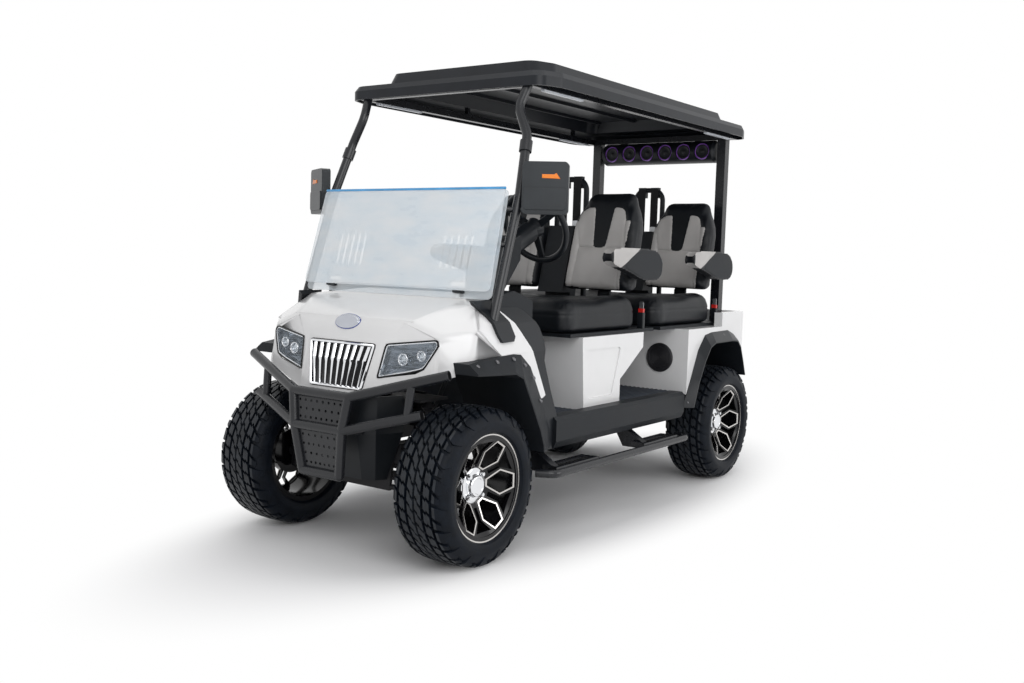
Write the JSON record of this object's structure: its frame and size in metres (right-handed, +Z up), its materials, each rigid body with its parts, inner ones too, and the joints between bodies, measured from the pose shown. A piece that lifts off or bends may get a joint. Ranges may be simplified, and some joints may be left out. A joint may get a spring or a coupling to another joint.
{
  "type": "golf cart",
  "caption": "Four-seat electric golf cart with long roof, fold-down windshield, tubular brush guard, side steps, forward-facing bench rows and block-tread wheels.",
  "frame": {"origin": "on the ground under the middle of the bounding box", "axes": "+Z up, the cart faces -Y, its left side is +X"},
  "size_m": [1.398, 2.848, 1.9618],
  "materials": {
    "axle_iron": "satin",
    "battery_case": "plain",
    "belt_webbing": "woven",
    "body_white": "gloss",
    "buckle_red": "gloss",
    "chassis_steel": "satin",
    "floor_mat": "ribbed",
    "grille_chrome": "polished",
    "guard_black": "satin powder coat",
    "lamp_clear": "clear",
    "lamp_red": "gloss",
    "led_white": "clear",
    "mirror_housing": "satin",
    "pane_clear": "clear",
    "rim_alloy": "gloss black with machined faces",
    "roof_charcoal": "gloss",
    "trim_black": "grained",
    "tyre_rubber": "block tread",
    "vinyl_black": "grained vinyl",
    "vinyl_grey": "grained vinyl",
    "wheel_black": "soft grip"
  },
  "bodies": {
    "cart": {"battery_pack": "battery_case", "belt_buckles": "buckle_red", "brush_guard": "guard_black", "chassis_frame": "chassis_steel", "dashboard": "trim_black", "floor_pan": "floor_mat", "front_arches": "trim_black", "front_cowl": "body_white", "front_cushion": "vinyl_black", "front_pillars": "guard_black", "front_seat_base": "body_white", "front_seatbacks": "vinyl_grey", "front_suspension": "chassis_steel", "front_valance": "trim_black", "grille": "grille_chrome", "headlamps": "lamp_clear", "mirrors": "mirror_housing", "pedals": "chassis_steel", "rear_arches": "trim_black", "rear_axle": "axle_iron", "rear_bumper": "guard_black", "rear_cushion": "vinyl_black", "rear_posts": "guard_black", "rear_seat_base": "body_white", "rear_seatbacks": "vinyl_grey", "roof": "roof_charcoal", "roof_frame": "guard_black", "roof_lamps": "led_white", "seat_belts": "belt_webbing", "seat_frames": "trim_black", "side_steps": "guard_black", "side_trim": "trim_black", "sills": "trim_black", "sound_bar": "trim_black", "speakers": "trim_black", "steering_column": "wheel_black", "tail_lamps": "lamp_red", "windshield": "pane_clear"},
    "knuckle_left": {"knuckle_left": "chassis_steel"},
    "knuckle_right": {"knuckle_right": "chassis_steel"},
    "rack": {"tie_rods": "chassis_steel"},
    "steering_wheel": {"steering_wheel": "wheel_black"},
    "wheel_front_left": {"tyre_front_left": "tyre_rubber", "rim_front_left": "rim_alloy"},
    "armrest_front_left": {"armrest_front_left": "vinyl_black"},
    "wheel_front_right": {"tyre_front_right": "tyre_rubber", "rim_front_right": "rim_alloy"},
    "armrest_front_right": {"armrest_front_right": "vinyl_black"},
    "wheel_rear_left": {"tyre_rear_left": "tyre_rubber", "rim_rear_left": "rim_alloy"},
    "armrest_rear_left": {"armrest_rear_left": "vinyl_black"},
    "wheel_rear_right": {"tyre_rear_right": "tyre_rubber", "rim_rear_right": "rim_alloy"},
    "armrest_rear_right": {"armrest_rear_right": "vinyl_black"}
  },
  "joints": [
    {"name": "steer_left", "type": "hinge", "parent": "cart", "child": "knuckle_left", "pos_m": [0.44, -1.1, 0.302], "axis": [0, 0, 1], "range_deg": [-28, 28]},
    {"name": "steer_right", "type": "hinge", "parent": "cart", "child": "knuckle_right", "pos_m": [-0.44, -1.1, 0.302], "axis": [0, 0, 1], "range_deg": [-28.5, 28.5]},
    {"name": "rack_slide", "type": "slide", "parent": "cart", "child": "rack", "axis": [1, 0, 0], "range_m": [-0.05, 0.05]},
    {"name": "steering_wheel_turn", "type": "hinge", "parent": "cart", "child": "steering_wheel", "pos_m": [0.266, -0.383, 1.29], "axis": [0, 0.8988, 0.4384], "range_deg": [-340, 340]},
    {"name": "spin_front_left", "type": "hinge", "parent": "knuckle_left", "child": "wheel_front_left", "pos_m": [0.478, -1.1, 0.302], "axis": [1, 0, 0], "continuous": true},
    {"name": "spin_front_right", "type": "hinge", "parent": "knuckle_right", "child": "wheel_front_right", "pos_m": [-0.478, -1.1, 0.302], "axis": [1, 0, 0], "continuous": true},
    {"name": "spin_rear_left", "type": "hinge", "parent": "cart", "child": "wheel_rear_left", "pos_m": [0.478, 1.024, 0.302], "axis": [1, 0, 0], "continuous": true},
    {"name": "spin_rear_right", "type": "hinge", "parent": "cart", "child": "wheel_rear_right", "pos_m": [-0.478, 1.024, 0.302], "axis": [1, 0, 0], "continuous": true},
    {"name": "armrest_front_left_lift", "type": "hinge", "parent": "cart", "child": "armrest_front_left", "pos_m": [0.5, 0.232, 1.138], "axis": [-1, 0, 0], "range_deg": [0, 85]},
    {"name": "armrest_front_right_lift", "type": "hinge", "parent": "cart", "child": "armrest_front_right", "pos_m": [-0.5, 0.232, 1.138], "axis": [-1, 0, 0], "range_deg": [0, 85]},
    {"name": "armrest_rear_left_lift", "type": "hinge", "parent": "cart", "child": "armrest_rear_left", "pos_m": [0.5, 1.052, 1.138], "axis": [-1, 0, 0], "range_deg": [0, 85]},
    {"name": "armrest_rear_right_lift", "type": "hinge", "parent": "cart", "child": "armrest_rear_right", "pos_m": [-0.5, 1.052, 1.138], "axis": [-1, 0, 0], "range_deg": [0, 85]}
  ],
  "couplings": [
    {"joint": "steer_right", "follows": "steer_left", "ratio": 1},
    {"joint": "rack_slide", "follows": "steer_left", "m_per_rad": -0.1},
    {"joint": "steering_wheel_turn", "follows": "steer_left", "ratio": 12}
  ]
}
